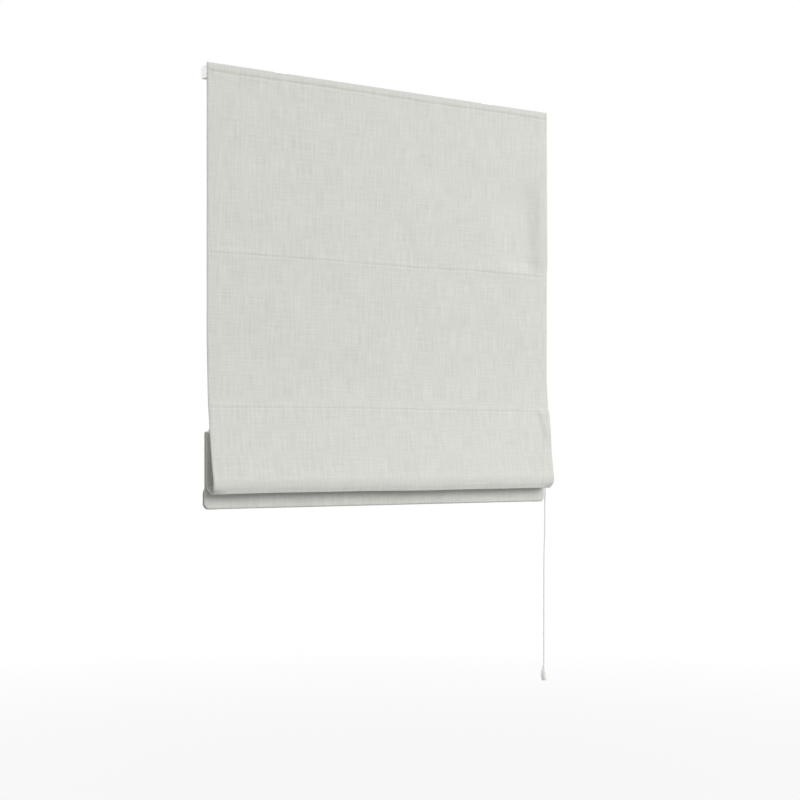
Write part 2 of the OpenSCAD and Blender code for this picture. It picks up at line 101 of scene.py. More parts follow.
# %% Grids and soft steps
def quads_of(ids, flip=False):
    """Quads of a grid of point numbers: each point, the one below it, that one's neighbour and its own."""
    quads = np.stack([ids[:-1, :-1], ids[1:, :-1], ids[1:, 1:], ids[:-1, 1:]], axis=-1).reshape(-1, 4)
    return quads[:, ::-1] if flip else quads


def ring_ids(rows, sides):
    """Point numbers of rows of rings, with the first column again at the end, so that the ring closes."""
    ids = np.arange(rows * sides).reshape(rows, sides)
    return np.concatenate([ids, ids[:, :1]], axis=1)


def rise(v, start, over):
    """Smooth step 3t^2 - 2t^3 of t = (v - start) / over, kept in 0 to 1. A negative over makes it fall."""
    t = np.clip((v - start) / over, 0, 1)
    return t * t * (3 - 2 * t)


def bump(d, width):
    """A bell of height 1: exp(-(d / width)^2)."""
    return np.exp(-(d / width) ** 2)


def travelled(path):
    """Length along a path at each of its points: the running sum of its steps."""
    return np.concatenate([[0], np.cumsum(np.linalg.norm(np.diff(path, axis=0), axis=1))])


def pairs(a, b):
    """Two arrays, spread to one shape, as a list of pairs."""
    return np.stack(np.broadcast_arrays(a, b), axis=-1).reshape(-1, 2)


# %% Mesh from arrays
MAP = "cloth_map"


def flat(values, kind=np.float32):
    """Values as one plain row of that kind, the way foreach_set takes them."""
    return np.ascontiguousarray(values, kind).ravel()


def mesh_piece(name, points, quads, finish, uv=None, marks=None):
    """A smooth object from points (n, 3) in metres and quads (m, 4), with a map and marks per point."""
    mesh = bpy.data.meshes.new(name)
    mesh.vertices.add(len(points))
    mesh.vertices.foreach_set("co", flat(points))
    mesh.loops.add(quads.size)
    mesh.loops.foreach_set("vertex_index", flat(quads, np.int32))
    mesh.polygons.add(len(quads))
    mesh.polygons.foreach_set("loop_start", np.arange(0, quads.size, 4, dtype=np.int32))
    mesh.polygons.foreach_set("use_smooth", np.ones(len(quads), bool))
    mesh.update(calc_edges=True)
    if uv is not None:
        mesh.uv_layers.new(name=MAP).uv.foreach_set("vector", flat(uv[quads.ravel()]))
    for mark, values in (marks or {}).items():
        mesh.attributes.new(mark, "FLOAT", "POINT").data.foreach_set("value", flat(values))
    mesh.validate()
    mesh.materials.append(finish)
    print(name, len(quads) * 2, "triangles")
    return in_scene(name, mesh)


# %% [markdown]
# ## Finishes
# Each material is a Principled shader with a small network of its own. Wired by hand, such networks are
# long to read. So the helpers make a node, set and wire its sockets by name and return its output, and a
# finish reads as a short list of steps. Colours are linear.


# %% Node helpers
def new_finish(name, colour, roughness, metallic=0.0, specular=0.5):
    """A material with its constant values set on the shader's own sockets."""
    finish = bpy.data.materials.new(name)
    finish.use_nodes = True
    shader = finish.node_tree.nodes["Principled BSDF"]
    shader.inputs["Base Color"].default_value = (*colour, 1)
    shader.inputs["Roughness"].default_value = roughness
    shader.inputs["Metallic"].default_value = metallic
    shader.inputs["Specular IOR Level"].default_value = specular
    return finish, shader


def node(owner, kind, values=None, **settings):
    """A new node of that kind in a material or world, with its settings and its unlinked input values."""
    made = owner.node_tree.nodes.new(kind)
    for key, value in settings.items():
        setattr(made, key, value)
    for key, value in (values or {}).items():
        made.inputs[key].default_value = value
    return made


def wire(owner, source, target):
    """One link from an output socket to an input socket."""
    owner.node_tree.links.new(source, target)


def math_node(owner, operation, a, b=0.0):
    """One calculation with two sockets or numbers."""
    made = node(owner, "ShaderNodeMath", operation=operation)
    for value, socket in ((a, made.inputs[0]), (b, made.inputs[1])):
        if isinstance(value, (int, float)):
            socket.default_value = value
        else:
            wire(owner, value, socket)
    return made.outputs[0]


def shares(owner, a, share_a, b, share_b):
    """Two values added in shares: a * share_a + b * share_b."""
    part_a = math_node(owner, "MULTIPLY", a, share_a)
    part_b = math_node(owner, "MULTIPLY", b, share_b)
    return math_node(owner, "ADD", part_a, part_b)


# %% Pattern helpers
def own_map(finish):
    """The piece's own map, which follows the cloth or the cord."""
    return node(finish, "ShaderNodeUVMap", uv_map=MAP).outputs["UV"]


def object_map(finish):
    """Object coordinates, which are metres in the frame."""
    return node(finish, "ShaderNodeTexCoord").outputs["Object"]


def mapped(finish, source, scale, turn=0.0):
    """The source coordinates times a scale for each axis, then turned in their plane."""
    mapping = node(finish, "ShaderNodeMapping", {"Scale": scale, "Rotation": (0, 0, turn)})
    wire(finish, source, mapping.inputs["Vector"])
    return mapping.outputs["Vector"]


def noise(finish, source, scale, detail=2.0, rough=0.5):
    """Noise on stretched coordinates: the scale gives lumps per metre along each axis."""
    texture = node(finish, "ShaderNodeTexNoise", {"Scale": 1.0, "Detail": detail, "Roughness": rough})
    wire(finish, mapped(finish, source, scale), texture.inputs["Vector"])
    return texture.outputs["Fac"]


def attribute(finish, mark):
    """A mark of the piece's points."""
    return node(finish, "ShaderNodeAttribute", attribute_name=mark).outputs["Fac"]


def shade_of(colour, share):
    """A colour made lighter or darker."""
    return tuple(min(1.0, c * share) for c in colour)


# %% Shading helpers
def ramp(finish, value, colour, dark, light):
    """Shades of a colour along a value: dark and light are each a place on it and a share of the colour."""
    made = node(finish, "ShaderNodeValToRGB")
    for element, (at, share) in zip(made.color_ramp.elements, (dark, light)):
        element.position = at
        element.color = (*shade_of(colour, share), 1)
    wire(finish, value, made.inputs["Fac"])
    return made.outputs["Color"]


def tinted(finish, shader, value, colour, dark, light):
    """A ramp as the shader's colour."""
    wire(finish, ramp(finish, value, colour, dark, light), shader.inputs["Base Color"])


def roughened(finish, shader, value, roughness, spread):
    """Roughness along a value, from 1 - spread to 1 + spread times its mean."""
    low, high = roughness * (1 - spread), roughness * (1 + spread)
    made = node(finish, "ShaderNodeMapRange", {"To Min": low, "To Max": high})
    wire(finish, value, made.inputs["Value"])
    wire(finish, made.outputs["Result"], shader.inputs["Roughness"])


def bumped(finish, shader, height, distance):
    """Bump on the shader from a height in 0 to 1 and its distance in metres."""
    made = node(finish, "ShaderNodeBump", {"Strength": 1.0, "Distance": distance})
    wire(finish, height, made.inputs["Height"])
    wire(finish, made.outputs["Normal"], shader.inputs["Normal"])


def colour_mix(finish, share, a, b, how="MIX"):
    """Colour a with a share of b, mixed in or multiplied.
    A Mix node takes its share at input 0 and colours at 6 and 7, and gives a colour at output 2."""
    made = node(finish, "ShaderNodeMix", data_type="RGBA", blend_type=how)
    wire(finish, share, made.inputs[0])
    wire(finish, a, made.inputs[6])
    if isinstance(b, tuple):
        made.inputs[7].default_value = (*b, 1)
    else:
        wire(finish, b, made.inputs[7])
    return made.outputs[2]


# %% [markdown]
# ## Cloth finishes
# The face cloth has a linen look: threads of uneven thickness in both directions. Threads as meshes would
# take millions of faces, so the weave is a pattern on the cloth's own map. Long thin noise along each
# direction gives the slubs, in colour and bump, and two fine waves give the weave, in the bump alone. The
# back of the fold turns over when the blind is let down, so its two layers each show the other cloth on
# their inner side.

# %% Sizes of the weave
UPRIGHT_SLUBS, ACROSS_SLUBS, CLOUDS = (310, 20, 1), (18, 360, 1), (26, 26, 1)
UPRIGHT_SHARE, WEAVE_SHARE = 0.6, 0.35
# Colour multiplied in along the sewn lines: painted shade of the seam grooves
SEAM_PAINTED_SHADE = (0.90, 0.90, 0.89)
# Length of one band of a Wave texture at scale 1
WAVE_BAND = 0.314
LINEN = (0.672, 0.678, 0.636)
CREAM = (0.84, 0.83, 0.78)
# Thread pitch and bump depth in metres, then colour, share of slubs and contrast
LINEN_WEAVE, LINEN_LOOK = (0.0007, 0.00032), (LINEN, 0.9, 0.082)
LINING_WEAVE, LINING_LOOK = (0.0004, 0.0001), (CREAM, 0.75, 0.028)
print("threads to a centimetre:", round(0.01 / LINEN_WEAVE[0]), round(0.01 / LINING_WEAVE[0]))


# %% Woven cloth
def two_sided(finish, outer, inner):
    """The outer colour, and the inner one on faces seen from behind where the cloth isn't turned."""
    behind = node(finish, "ShaderNodeNewGeometry").outputs["Backfacing"]
    plain = math_node(finish, "SUBTRACT", 1.0, attribute(finish, "turned"))
    return colour_mix(finish, math_node(finish, "MULTIPLY", behind, plain), outer, inner)


def weave_bands(finish, cloth_map, thread, direction):
    """Bands one thread wide along a direction of the map, slightly uneven."""
    wave = node(finish, "ShaderNodeTexWave", {"Scale": 1.0, "Distortion": 0.9, "Detail": 1.0},
                wave_type="BANDS", bands_direction=direction)
    wire(finish, mapped(finish, cloth_map, (WAVE_BAND / thread,) * 3), wave.inputs["Vector"])
    return wave.outputs["Fac"]


def woven(name, thread, depth, colour, slub, contrast, reverse=None):
    """Woven cloth: slubs and clouds in shares are the tone, slubs and the bands' product the height.
    A reverse, as colour, slub and contrast, shows on the inner side. The seam mark darkens the colour:
    painted shade."""
    finish, shader = new_finish(name, colour, 0.92, specular=0.12)
    shader.inputs["Sheen Weight"].default_value = 0.06
    shader.inputs["Sheen Roughness"].default_value = 0.5
    cloth_map = own_map(finish)
    upright = noise(finish, cloth_map, UPRIGHT_SLUBS, 3.0, 0.6)
    across = noise(finish, cloth_map, ACROSS_SLUBS, 3.0, 0.6)
    cloudy = noise(finish, cloth_map, CLOUDS)
    threads = shares(finish, upright, UPRIGHT_SHARE, across, 1 - UPRIGHT_SHARE)

    def toned(side_colour, share, spread):
        """Colour of one side: threads and clouds by share, as a ramp round the side's colour."""
        tone = shares(finish, threads, share, cloudy, 1 - share)
        return ramp(finish, tone, side_colour, (0.36, 1 - spread), (0.64, 1 + spread))

    shown = toned(colour, slub, contrast)
    if reverse:
        shown = two_sided(finish, shown, toned(*reverse))
    # Along the sewn lines the colour is multiplied darker: painted shade of the grooves
    sewn = colour_mix(finish, attribute(finish, "seam"), shown, SEAM_PAINTED_SHADE, "MULTIPLY")
    wire(finish, sewn, shader.inputs["Base Color"])
    bands = [weave_bands(finish, cloth_map, thread, direction) for direction in ("X", "Y")]
    weave = math_node(finish, "MULTIPLY", *bands)
    bumped(finish, shader, shares(finish, weave, WEAVE_SHARE, threads, slub), depth)
    return finish


linen = woven("linen_cloth", *LINEN_WEAVE, *LINEN_LOOK)
lining_cloth = woven("lining_cloth", *LINING_WEAVE, *LINING_LOOK)
fold_linen = woven("fold_linen", *LINEN_WEAVE, *LINEN_LOOK, reverse=LINING_LOOK)
fold_lining = woven("fold_lining", *LINING_WEAVE, *LINING_LOOK, reverse=LINEN_LOOK)
print("cloth finishes", linen.name, lining_cloth.name, fold_linen.name, fold_lining.name)

# %% [markdown]
# ## Thread and cord finishes
# Cord and sewing thread are plaited from fine yarns that slant both ways round them. The yarns are too
# fine for a mesh, so two slanted waves cross on a map of turns round the cord and metres along it, with a
# little fuzz.


# %% Braid
def braided(name, colour, pitch):
    """Braided cord: the larger of two slanted waves, and fuzz, in shares of the tone and the bump.
    The colour is darker where the braid is low, between the yarns: painted shade.
    """
    finish, shader = new_finish(name, colour, 0.75, specular=0.25)
    cord_map = own_map(finish)
    slants = []
    for slant in (0.6, -0.6):
        wave = node(finish, "ShaderNodeTexWave", {"Scale": 1.0, "Distortion": 0.4})
        wire(finish, mapped(finish, cord_map, (0.6, WAVE_BAND / pitch, 1), slant), wave.inputs["Vector"])
        slants.append(wave.outputs["Fac"])
    fuzz = noise(finish, cord_map, (9, 900, 1))
    tone = shares(finish, math_node(finish, "MAXIMUM", *slants), 0.6, fuzz, 0.4)
    # Darker between the yarns, where the bump is low: painted shade
    tinted(finish, shader, tone, colour, (0.2, 0.86), (0.9, 1.04))
    bumped(finish, shader, tone, 0.00012)
    return finish


cord_braid = braided("cord_braid", (0.93, 0.93, 0.90), 0.0016)
sewing_thread = braided("sewing_thread", shade_of(LINEN, 0.94), 0.0006)
print("braids", cord_braid.name, sewing_thread.name)

# %% [markdown]
# ## Cords
# A lift cord starts at the stop under its anchor, runs up through the rings, over the guide's pulley,
# along the rail and over the lock's drum. Three tails of 1.4 mm leave the lock twisted into one pull cord
# of 3 mm. Curves with a bevel would do for plain cords. Tubes of points are used, because the twist and
# the braid need a map that follows each strand.


# %% Tubes along a route
TIP = 0.02


def along(route, step):
    """Points about step apart on a smooth curve through the route.
    It is cubic pieces, whose slope at each point is half the step between its neighbours."""
    p = np.vstack([2 * route[0] - route[1], route, 2 * route[-1] - route[-2]])
    pieces = []
    for a, b, c, d in zip(p[:-3], p[1:-2], p[2:-1], p[3:]):
        t = np.linspace(0, 1, max(2, int(np.linalg.norm(c - b) / step)), endpoint=False)[:, None]
        pieces.append(0.5 * (2 * b + (c - a) * t + (2 * a - 5 * b + 4 * c - d) * t ** 2
                             + (3 * b - a - 3 * c + d) * t ** 3))
    return np.vstack(pieces + [route[-1:]])


def frame_of(path):
    """Unit vectors across a path: its tangent's cross products with a steady side vector."""
    tangent = np.gradient(path, axis=0)
    tangent /= np.linalg.norm(tangent, axis=1)[:, None]
    one = np.cross(tangent, [0.0, 1.0, 0.0])
    one /= np.linalg.norm(one, axis=1)[:, None]
    return one, np.cross(tangent, one)


def tube(path, radius, sides):
    """A round tube: path + radius * (cos a * one + sin a * two), with both ends drawn in to a point."""
    one, two = frame_of(path)
    angle = (np.arange(sides) * 2 * np.pi / sides)[None, :, None]
    rings = np.concatenate([[0], np.arange(len(path)), [len(path) - 1]])
    size = np.full((len(rings), 1, 1), radius)
    size[[0, -1]] *= TIP
    around = np.cos(angle) * one[rings, None] + np.sin(angle) * two[rings, None]
    points = path[rings, None] + size * around
    uv = pairs(np.arange(sides)[None, :] / sides, travelled(path)[rings, None])
    return points.reshape(-1, 3), quads_of(ring_ids(len(rings), sides)), uv


def arc_points(centre, radius, start, stop, count=10):
    """Points of an arc in the x-z plane, by angle from +x in degrees."""
    a = np.radians(np.linspace(start, stop, count))[:, None]
    return np.array(centre) + radius * (np.cos(a) * [1, 0, 0] + np.sin(a) * [0, 0, 1])


# %% Lift cords
CORD_D = 1.4
PITCH_R = 6.75
AXIS_Z = -15.0
DRUM_X = 409.25
EXIT_X = 416.0
STOP_Z, ANCHOR_Z, TAIL_Z = -659.4, -656.5, -35.25
# Each cord's place across, the plane it runs in, and where its tail joins the twist
LIFT_CORDS = {"left": (-320.0, -3.5, -2.45), "centre": (0.0, -1.0, -1.0), "right": (320.0, 1.5, 0.45)}

for side, (x, plane, tail_y) in LIFT_CORDS.items():
    upright = np.linspace([x, plane, STOP_Z], [x, plane, AXIS_Z], 90, endpoint=False)
    over_guide = arc_points([x + PITCH_R, plane, AXIS_Z], PITCH_R, 180, 90)
    over_drum = arc_points([DRUM_X, plane, AXIS_Z], PITCH_R, 90, 0)
    run = np.linspace(over_guide[-1], over_drum[0], 60)[1:-1]
    tail = np.linspace([EXIT_X, plane, AXIS_Z], [EXIT_X, tail_y, TAIL_Z], 8)[1:]
    path = np.vstack([upright, over_guide, run, over_drum, tail]) * MM
    points, quads, uv = tube(path, CORD_D / 2 * MM, 10)
    lift_cord = mesh_piece(f"lift_cord_{side}_braid", points, quads, cord_braid, uv)
    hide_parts(f"lift_cord_{side}")
    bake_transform(lift_cord)

# %% Pull cord of three twisted tails
PULL_D = 3.0
TWIST = 15.0
CORD_Y = -1.0
ACORN_TOP = 1135.0
PULL_TOP_Z, PULL_END_Z = -35.35, -1157.3
# The cord's bends: how far it hangs off the upright, and at which share of its way to the acorn
BENDS = [(0, 0.105), (-2, 0.37), (-4, 0.652), (-3, 0.705), (-2.5, 0.758), (-0.5, 0.802), (0, 0.881), (0, 1)]
route = [(EXIT_X, CORD_Y, PULL_TOP_Z)]
route += [(EXIT_X, CORD_Y + offset, -ACORN_TOP * share) for offset, share in BENDS]
route += [(EXIT_X, CORD_Y, PULL_END_Z)]
pull_path = along(np.array(route), 1.25) * MM
pull_at = travelled(pull_path)
one, two = frame_of(pull_path)
strands, total = [], 0
for strand in range(3):
    turn = 2 * np.pi * (pull_at / (TWIST * MM) + strand / 3)[:, None]
    wind = (PULL_D - CORD_D) / 2 * MM * (np.cos(turn) * one + np.sin(turn) * two)
    points, quads, uv = tube(pull_path + wind, CORD_D / 2 * MM, 8)
    strands.append((points, quads + total, uv))
    total += len(points)
points, quads, uv = (np.concatenate(column) for column in zip(*strands))
pull_cord = mesh_piece("pull_cord_twist", points, quads, cord_braid, uv)
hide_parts("pull_cord")
print("pull cord", round(float(pull_at[-1]), 4), "m")

# %% [markdown]
# ## Section of the cloth
# The cloth hangs from the heading, leans out at the middle rod, turns under in the front fold, goes up
# behind it over the lower rod, and hangs down again to the hem. A simulation could drop it into these
# folds, but rods, heading and hem leave it little freedom, and a drawn section gives the same fold each
# time. The section is points by length along the cloth, so a place on the cloth is (x, s, n): x across, s
# down and n out of its face.


# %% Curves of the section
def straight(a, b, step=1.0):
    """Points from a to b, about step apart, without the last."""
    return np.linspace(a, b, max(2, int(math.dist(a, b) / step)), endpoint=False)


def pulled(a, b, c, d, count=60):
    """Cubic curve from a to d, pulled towards b and c, without its last point."""
    t = np.linspace(0, 1, count, endpoint=False)[:, None]
    a, b, c, d = (np.array(p, float) for p in (a, b, c, d))
    return (1 - t) ** 3 * a + 3 * (1 - t) ** 2 * t * b + 3 * (1 - t) * t ** 2 * c + t ** 3 * d


def bow(centre, radius, start, stop, count=40):
    """Arc in the y-z plane by angle from +y in degrees, without its last point."""
    a = np.radians(np.linspace(start, stop, count, endpoint=False))
    return np.stack([centre[0] + radius * np.cos(a), centre[1] + radius * np.sin(a)], axis=1)


def leaning(degrees):
    """Unit vector back along the cloth.
    It is at 0 where the cloth hangs straight, 90 where it runs out to the room and 180 where it goes up."""
    return np.array([math.sin(math.radians(degrees)), math.cos(math.radians(degrees))])


def sway(a, lean_a, pull_a, b, lean_b, pull_b, count=60):
    """Cloth from a to b that leaves a and reaches b at the given leans, with a pull in mm at each end."""
    return pulled(a, a - leaning(lean_a) * pull_a, b + leaning(lean_b) * pull_b, b, count)


# %% Section
CLOTH_TOP, CLOTH_Y = -1.0, -16.15
LEAN_FROM = np.array([CLOTH_Y, -475.5])
MIDDLE, MIDDLE_LEAN = np.array([-21.15, -614.0]), 6
BELLY, BELLY_LEAN = np.array([-37.9, -742.5]), 11
STRIP_TOP, STRIP_LEAN, STRIP_L = np.array([-36.8, -761.5]), -17, 8.0
STRIP_END = STRIP_TOP - leaning(STRIP_LEAN) * STRIP_L
FOLD_LOW = np.array([-32.0, -769.6])
BACK_AT = np.array([-14.65, -750.6])
BEND_Y, BEND_Z, BEND_R = -11.0, -663.0, 3.0
BEND_FROM = np.array([BEND_Y - BEND_R, BEND_Z])
SKIRT_Y = -8.0
HEM_Y, HEM_Z, HEM_R = -4.9, -794.45, 3.1
HEM_BACK_Y, HEM_TOP = HEM_Y + HEM_R, -768.0
FELL = (-6.9, -760.0)
runs = {
    "hang": straight((CLOTH_Y, CLOTH_TOP), LEAN_FROM),
    "lean": sway(LEAN_FROM, 0, 46, MIDDLE, MIDDLE_LEAN, 46),
    "front": sway(MIDDLE, MIDDLE_LEAN, 42, BELLY, BELLY_LEAN, 30),
    "turn": sway(BELLY, BELLY_LEAN, 6, STRIP_TOP, STRIP_LEAN, 7),
    "strip": straight(STRIP_TOP, STRIP_END, 0.5),
    "edge": sway(STRIP_END, STRIP_LEAN, 1, FOLD_LOW, -90, 0.5, 20),
    "under": sway(FOLD_LOW, -90, 6, BACK_AT, 180, 9),
    "back": sway(BACK_AT, 180, 29, BEND_FROM, 180, 29),
    "bend": bow((BEND_Y, BEND_Z), BEND_R, 180, 0),
    "skirt": straight((SKIRT_Y, BEND_Z), (SKIRT_Y, HEM_Z)),
    "hem": bow((HEM_Y, HEM_Z), HEM_R, 180, 360),
    "hem_back": straight((HEM_BACK_Y, HEM_Z), (HEM_BACK_Y, HEM_TOP)),
    "tuck": straight((HEM_BACK_Y, HEM_TOP), FELL),
    "end": np.array([FELL]),
}
section = np.vstack(list(runs.values()))
section_s = travelled(section)
slope = np.gradient(section, axis=0)
slope /= np.linalg.norm(slope, axis=1)[:, None]
outward = np.stack([slope[:, 1], -slope[:, 0]], axis=1)
print("section", len(section), "points")

# %% Places down the cloth
HEM_STITCH_Z = -763.0
first = np.cumsum([0] + [len(run) for run in runs.values()])
start = {name: float(section_s[at]) for name, at in zip(runs, first)}
S_HEADING, S_UPPER = 13.8, 336.0
S_MIDDLE, S_STRIP, S_FOLD = start["front"], start["strip"], start["under"]
S_BEND, S_SKIRT, S_END = start["bend"], start["skirt"], start["end"]
S_HEM, S_HEM_BACK = start["hem"], start["hem_back"]
S_HEM_LOW = (S_HEM + S_HEM_BACK) / 2
S_STITCHED = S_SKIRT + BEND_Z - HEM_STITCH_Z
print("cloth along the section, mm:", round(S_END, 1), "fold", round(S_FOLD, 1), "bend", round(S_BEND, 1))

# %% [markdown]
# ## How the cloth hangs
# Between the rods the cloth is a little slack, and it is flat where a rod, the heading or the hem holds
# it. Its right edge stands forward in a soft ridge above the upper rod, a slanting crease runs out to
# that edge below the middle rod, and the fold's foot is slightly wavy, with a lip above it and corners
# that draw in. Sculpting would give such forms by hand. Here each is a short formula, so that every layer
# of the cloth follows the same one.

# %% Sizes of the waves
HALF_W = 410.0
# Height, wave length across and down, and phase
LONG_WAVES = [(0.55, 330, 410, 0.4), (0.35, 190, -520, 2.1), (0.22, 120, 300, 4.0), (0.30, -560, 170, 1.2)]
RIDGE_H, DIP_H = 7.0, 5.0
CREASE_H, CREASE_X, CREASE_S, CREASE_SLANT = 2.8, 378, 620, 0.24
FOOT_H, LIP_H = 0.6, 0.35
CORNER_W, CORNER_IN, CORNER_BACK = 34, 4.0, 4.5
print("highest long wave", max(height for height, *_ in LONG_WAVES), "mm, ridge", RIDGE_H, "mm")


# %% Waves of the cloth
def hold(s):
    """1 in the free cloth, falling to 0 at the heading, the rods, the fold's foot and below it."""
    free = (1 - bump(s - S_HEADING, 60)) * (1 - bump(s - S_UPPER, 45)) * (1 - bump(s - S_MIDDLE, 40))
    return free * rise(s, 0, 60) * rise(s, S_FOLD, -90)


def ridge(x, s):
    """A rise at the right edge after a wider dip, faded in below the heading and out at the upper rod."""
    return (RIDGE_H * rise(x, 355, 43) - DIP_H * rise(x, 235, 125)) * rise(s, 110, 110) * rise(s, 333, -26)


def crease(x, s):
    """A step that moves out to the right edge as it goes down, faded in and out below the middle rod."""
    step = CREASE_H * rise(x - CREASE_SLANT * (s - CREASE_S), CREASE_X, 12)
    return step * rise(s, S_MIDDLE - 8, 14) * rise(s, S_MIDDLE + 84, -50)


def slack(x, s):
    """How far the cloth stands off its section, in mm: waves, ridge, crease, wavy foot and lip."""
    waves = sum(height * np.sin(2 * np.pi * (x / across + s / down) + phase)
                for height, across, down, phase in LONG_WAVES)
    foot = FOOT_H * (np.sin(x / 78 + 0.5) + 0.5 * np.sin(x / 37)) * bump(s - S_FOLD, 22)
    return hold(s) * waves + ridge(x, s) + crease(x, s) + foot + LIP_H * bump(s - S_STRIP, 5)


def place(x, s, n):
    """Points in metres of cloth places in mm: the section at s, moved out of the face by n and the slack.
    At both ends of the fold's foot the corner draws in and back."""
    x, s, n = np.broadcast_arrays(x, s, n)
    at = [np.interp(s, section_s, section[:, k]) for k in (0, 1)]
    out = [np.interp(s, section_s, outward[:, k]) for k in (0, 1)]
    off = (n + slack(x, s)) / np.hypot(*out)
    corner = rise(np.abs(x), HALF_W - CORNER_W, CORNER_W) * bump(s - S_FOLD, 8)
    y = at[0] + out[0] * off + CORNER_BACK * corner
    z = at[1] + out[1] * off
    return np.stack([x - CORNER_IN * np.sign(x) * corner, y, z], axis=-1) * MM


# %% [markdown]
# ## Seams
# A row of stitches pulls the cloth into a shallow groove, with small puckers beside it, and no sewn line
# is quite straight. A bump texture would lie flat at the edges of the cloth. So the groove is in the
# mesh, and the rows of points lie close together there. The groove's shade is also painted darker into
# the cloth's colour.

# %% Sizes of the seams
FACE_OUT, FACE_BACK, EDGE_R = 0.45, -1.25, 0.85
SIDE_TURN, TOP_TURN = 28.0, 8.0
PUCKER_REACH, RIM_H, RIM_W = 9, 0.16, 4.5
SEAM_LINES = {"heading": S_HEADING, "upper": S_UPPER, "middle": S_MIDDLE}
# Depth and width of the groove, strength of its painted shade, and height of the puckers
POCKET_SEAM = (0.24, 1.5, 0.58, 0.1)
SEAM_FORM = {"heading": (0.45, 2.8, 1.0, 0.2), "upper": POCKET_SEAM, "middle": POCKET_SEAM}
print("sewn lines down the cloth, mm:", *(round(level, 1) for level in SEAM_LINES.values()))


# %% Seams
def seam_line(which, x):
    """Where a seam runs down the cloth, in mm: its level plus the wander of the sewn line."""
    wander = {"heading": 0.5 * np.sin(x / 67),
              "upper": 1.4 - 2.2 * bump(x - 205, 55) + 0.5 * np.sin(x / 83 + 1),
              "middle": 1.2 - 1.8 * (1 - (x / HALF_W) ** 2) + 0.4 * np.sin(x / 71)}
    return SEAM_LINES[which] + wander[which]


def seam_draw(x, s):
    """(height in mm, painted shade) of the sewn lines: a bell as groove and as its painted shade, raised
    rims, and puckers that die out.
    """
    height, mark = np.zeros(np.broadcast(x, s).shape), np.zeros(np.broadcast(x, s).shape)
    puckers = np.sin(x * 0.52 + 0.8 * np.sin(x * 0.11)) * (0.6 + 0.4 * np.sin(x * 0.037))
    uneven = 0.84 + 0.16 * np.sin(x * 0.09 + 2 * np.sin(x * 0.023))
    for which, (deep, tight, tone, pucker) in SEAM_FORM.items():
        away = s - seam_line(which, x)
        height += -deep * bump(away, tight) + pucker * puckers * bump(away, PUCKER_REACH)
        height += RIM_H * rise(np.abs(np.abs(away) - RIM_W), RIM_W, -RIM_W)
        # The mark is painted shade in the groove, a little uneven along it
        mark += tone * uneven * bump(away, 0.8 * tight)
    return height, mark


def face_out(x, s):
    """Height of the face in mm: the cloth, thicker over the side turnings, with the seams drawn in."""
    turning = 0.35 * rise(np.abs(x), HALF_W - SIDE_TURN - 6, 9)
    return FACE_OUT + turning + seam_draw(x, s)[0]


def rows_between(start, stop, step, near=(), fine=0.5, reach=7):
    """Row places from start to stop: step apart, and fine apart within reach of the places in near."""
    base = np.linspace(start, stop, int((stop - start) / step) + 1)
    for middle in near:
        base = base[np.abs(base - middle) > reach]
        base = np.concatenate([base, np.arange(middle - reach, middle + reach + fine / 2, fine)])
    return np.sort(base)


# %% [markdown]
# ## Face cloth
# The face cloth is turned round the sides and the top and felled to the lining behind. A solidified sheet
# would have a cut edge there, where the real one is round. So front, edge and turning are one mesh: loops
# of points go out from the front's edge, round it and in again behind. The cloth is one length, made in
# four parts that meet where it goes over from one moving body to the next.

# %% Turned sheets
ROUND = np.radians([45, 90, 135, 180])
INSET = np.array([0.15, 0.5, 0.85, 0.98, 1.0, 1.0])
RAW_EDGE = -0.9


def turning_edges(ids, with_top):
    """Point numbers along the edges that turn, and each point's way out, across and up.
    These are the two sides, or one run up the left side, along the top and down the right."""
    rows, columns = ids.shape
    left, right = ids[::-1, 0], ids[:, -1]
    if not with_top:
        return [(left, -1.0, 0.0), (right, 1.0, 0.0)]
    across = np.repeat([-1.0, 0.0, 1.0], [rows, columns - 2, rows])
    upward = np.concatenate([np.zeros(rows - 1), -np.ones(columns), np.zeros(rows - 1)])
    return [(np.concatenate([left, ids[0, 1:-1], right]), across, upward)]


def turned_sheet(x, s, height, turn, top_turn=0.0):
    """Points, quads, map and marks of cloth with turned edges.
    The front is place(x, s, height). From its edge, loops go half round a circle, then in by turn."""
    ids = np.arange(x.size).reshape(x.shape)
    points, uv, quads = [place(x, s, height).reshape(-1, 3)], [pairs(x, s)], [quads_of(ids)]
    out = np.concatenate([EDGE_R * np.sin(ROUND), -INSET * turn])[:, None]
    out_top = np.concatenate([EDGE_R * np.sin(ROUND), -INSET * top_turn])[:, None]
    level = np.concatenate([FACE_OUT - EDGE_R + EDGE_R * np.cos(ROUND), np.full(len(INSET), FACE_BACK)])
    level[-1] = RAW_EDGE
    total = x.size
    for edge, across, upward in turning_edges(ids, top_turn > 0):
        x_loop = x.ravel()[edge] + across * out
        s_loop = s.ravel()[edge] + upward * out_top
        points.append(place(x_loop, s_loop, level[:, None]).reshape(-1, 3))
        uv.append(pairs(x_loop, s_loop))
        loops = total + np.arange(x_loop.size).reshape(x_loop.shape)
        quads.append(quads_of(np.vstack([edge, loops]), flip=True))
        total += x_loop.size
    around = total - x.size
    # The seam mark is the painted shade of the sewn grooves
    marks = {"seam": np.concatenate([seam_draw(x, s)[1].ravel(), np.zeros(around)]),
             "turned": np.concatenate([(np.abs(x) > HALF_W - turn).ravel(), np.ones(around)])}
    return np.concatenate(points), np.concatenate(quads), np.concatenate(uv) * MM, marks


# %% Parts of the face cloth
HEM_CORNER, HEM_FOOT_Z = 11.0, HEM_Z - HEM_R - FACE_OUT
HEM_TURN = 6.0
columns = rows_between(-HALF_W + EDGE_R, HALF_W - EDGE_R, 3.4)


